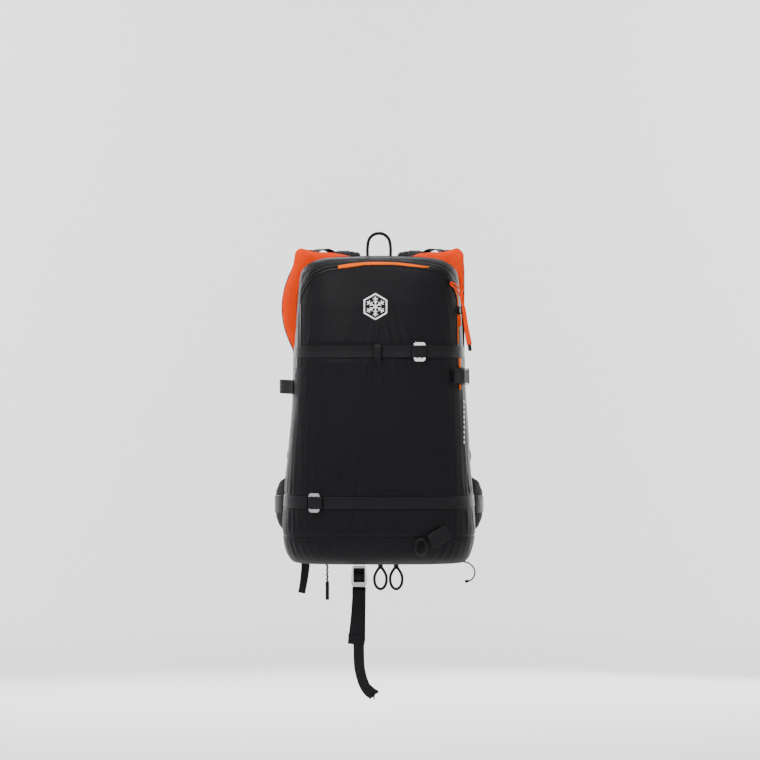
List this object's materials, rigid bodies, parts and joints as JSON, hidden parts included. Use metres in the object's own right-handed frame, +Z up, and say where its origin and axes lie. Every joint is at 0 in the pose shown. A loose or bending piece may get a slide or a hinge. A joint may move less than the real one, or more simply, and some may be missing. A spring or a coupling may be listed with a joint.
{
  "type": "ski touring backpack",
  "caption": "Ski-touring backpack with a zipped front flap, airbag channel over the top, padded harness, hip belt, hook-buckle straps and a leg strap below.",
  "frame": {"origin": "middle of the flat face of the back pad, against the wearer's back", "axes": "+Z up, +X to the right seen from behind the wearer, -Y the outer face of the bag, +Y towards the wearer"},
  "size_m": [0.3638, 0.4281, 0.8086],
  "materials": {
    "shell_fabric": "black ripstop nylon, matte",
    "webbing": "woven black webbing",
    "orange_fabric": "bright orange nylon",
    "foam": "black mesh over moulded foam",
    "plastic": "black acetal",
    "metal": "brushed aluminium",
    "sheet": "translucent white polyethylene",
    "rubber": "black rubberised cord and tube",
    "print": "pale grey print on black"
  },
  "bodies": {
    "pack": {"base_panel": "shell_fabric", "front_panel": "shell_fabric", "side_panel_left": "shell_fabric", "side_panel_right": "shell_fabric", "top_panel": "shell_fabric", "zip_tape": "webbing", "airbag_cover": "orange_fabric", "folded_airbag": "orange_fabric", "inflator": "metal", "back_wall": "shell_fabric", "shovel_sleeve": "orange_fabric", "frame_sheet": "sheet", "frame_wire": "metal", "back_pad": "foam", "lumbar_pad": "foam", "shoulder_strap_left": "foam", "shoulder_strap_right": "foam", "load_lifter_left": "webbing", "load_lifter_right": "webbing", "strap_adjuster_left": "plastic", "strap_adjuster_right": "plastic", "lower_webbing_left": "webbing", "lower_webbing_right": "webbing", "release_cable": "rubber", "upper_strap_left": "webbing", "upper_strap_right": "webbing", "lower_strap_left": "webbing", "lower_strap_right": "webbing", "tool_keeper": "webbing", "side_loop": "webbing", "folded_strap": "webbing", "cord_loop": "rubber"},
    "flap": {"front_flap": "shell_fabric", "zip_piping": "orange_fabric", "emblem": "print"},
    "main_slider": {"main_slider": "orange_fabric"},
    "side_slider": {"side_slider": "orange_fabric"},
    "haul_loop": {"haul_loop": "webbing"},
    "hip_wing_left": {"hip_wing_left": "foam", "hip_webbing_left": "webbing", "hip_socket": "plastic"},
    "hip_wing_right": {"hip_wing_right": "foam", "hip_webbing_right": "webbing", "hip_plug": "plastic"},
    "sternum": {"sternum_strap_left": "webbing", "sternum_slider_right": "plastic", "sternum_socket": "plastic"},
    "sternum_plug": {"sternum_plug": "plastic", "sternum_strap_right": "webbing"},
    "leg_hook": {"leg_hook": "metal"},
    "leg_strap": {"leg_strap": "webbing"},
    "axe_loop_left": {"axe_loop_left": "rubber"},
    "axe_loop_right": {"axe_loop_right": "rubber"},
    "cord_pull": {"cord_pull": "rubber"},
    "webbing_tail": {"webbing_tail": "webbing"},
    "upper_hook": {"upper_hook": "metal"},
    "lower_hook": {"lower_hook": "metal"},
    "trigger_handle": {"trigger_handle": "orange_fabric"},
    "ski_loop": {"ski_loop": "webbing"},
    "ring_loop": {"ring_loop": "webbing"}
  },
  "joints": [
    {"name": "flap_fold", "type": "hinge", "parent": "pack", "child": "flap", "pos_m": [0, -0.214, 0.0612], "axis": [1, 0, 0], "range_deg": [0, 70]},
    {"name": "main_slider_travel", "type": "hinge", "parent": "flap", "child": "main_slider", "pos_m": [0.074, -0.174, 0.13], "axis": [0.2343, -0.9722, 0], "range_deg": [0, 30]},
    {"name": "side_slider_travel", "type": "slide", "parent": "flap", "child": "side_slider", "axis": [0, -0.227, -0.9739], "range_m": [0, 0.026]},
    {"name": "haul_loop_tilt", "type": "hinge", "parent": "pack", "child": "haul_loop", "pos_m": [0, -0.021, 0.215], "axis": [1, 0, 0], "range_deg": [-50, 50]},
    {"name": "hip_wing_left_swing", "type": "hinge", "parent": "pack", "child": "hip_wing_left", "pos_m": [-0.15, -0.012, -0.217], "axis": [0, 0, 1], "range_deg": [-5, 35]},
    {"name": "hip_wing_right_swing", "type": "hinge", "parent": "pack", "child": "hip_wing_right", "pos_m": [0.15, -0.012, -0.217], "axis": [0, 0, -1], "range_deg": [-5, 35]},
    {"name": "sternum_height", "type": "slide", "parent": "pack", "child": "sternum", "axis": [0, 0, 1], "range_m": [-0.02, 0.01]},
    {"name": "sternum_plug_pull", "type": "slide", "parent": "sternum", "child": "sternum_plug", "axis": [1, 0, 0], "range_m": [0, 0.036]},
    {"name": "leg_hook_swing", "type": "hinge", "parent": "pack", "child": "leg_hook", "pos_m": [-0.0344, -0.057, -0.321], "axis": [1, 0, 0], "range_deg": [-45, 45]},
    {"name": "leg_strap_swing", "type": "hinge", "parent": "leg_hook", "child": "leg_strap", "pos_m": [-0.0344, -0.057, -0.353], "axis": [1, 0, 0], "range_deg": [-45, 45]},
    {"name": "axe_loop_left_swing", "type": "hinge", "parent": "pack", "child": "axe_loop_left", "pos_m": [0.0025, -0.087, -0.32], "axis": [1, 0, 0], "range_deg": [-60, 60]},
    {"name": "axe_loop_right_swing", "type": "hinge", "parent": "pack", "child": "axe_loop_right", "pos_m": [0.0295, -0.087, -0.32], "axis": [1, 0, 0], "range_deg": [-60, 60]},
    {"name": "cord_pull_swing", "type": "hinge", "parent": "pack", "child": "cord_pull", "pos_m": [-0.0884, -0.102, -0.314], "axis": [1, 0, 0], "range_deg": [-45, 45]},
    {"name": "webbing_tail_swing", "type": "hinge", "parent": "pack", "child": "webbing_tail", "pos_m": [-0.1264, -0.067, -0.312], "axis": [1, 0, 0], "range_deg": [-45, 45]},
    {"name": "upper_hook_open", "type": "hinge", "parent": "pack", "child": "upper_hook", "pos_m": [0.076, -0.2135, 0.047], "axis": [0, 0, 1], "range_deg": [0, 60]},
    {"name": "lower_hook_open", "type": "hinge", "parent": "pack", "child": "lower_hook", "pos_m": [-0.1157, -0.2135, -0.205], "axis": [0, 0, -1], "range_deg": [0, 60]},
    {"name": "trigger_pull", "type": "slide", "parent": "pack", "child": "trigger_handle", "axis": [0, 0, -1], "range_m": [0, 0.018]},
    {"name": "ski_loop_lift", "type": "hinge", "parent": "pack", "child": "ski_loop", "pos_m": [0.1136, -0.2138, -0.253], "axis": [-0.4706, 0, 0.8823], "range_deg": [0, 50]},
    {"name": "ring_loop_lift", "type": "hinge", "parent": "pack", "child": "ring_loop", "pos_m": [0.07, -0.2187, -0.2623], "axis": [-1, 0, 0], "range_deg": [0, 50]}
  ]
}
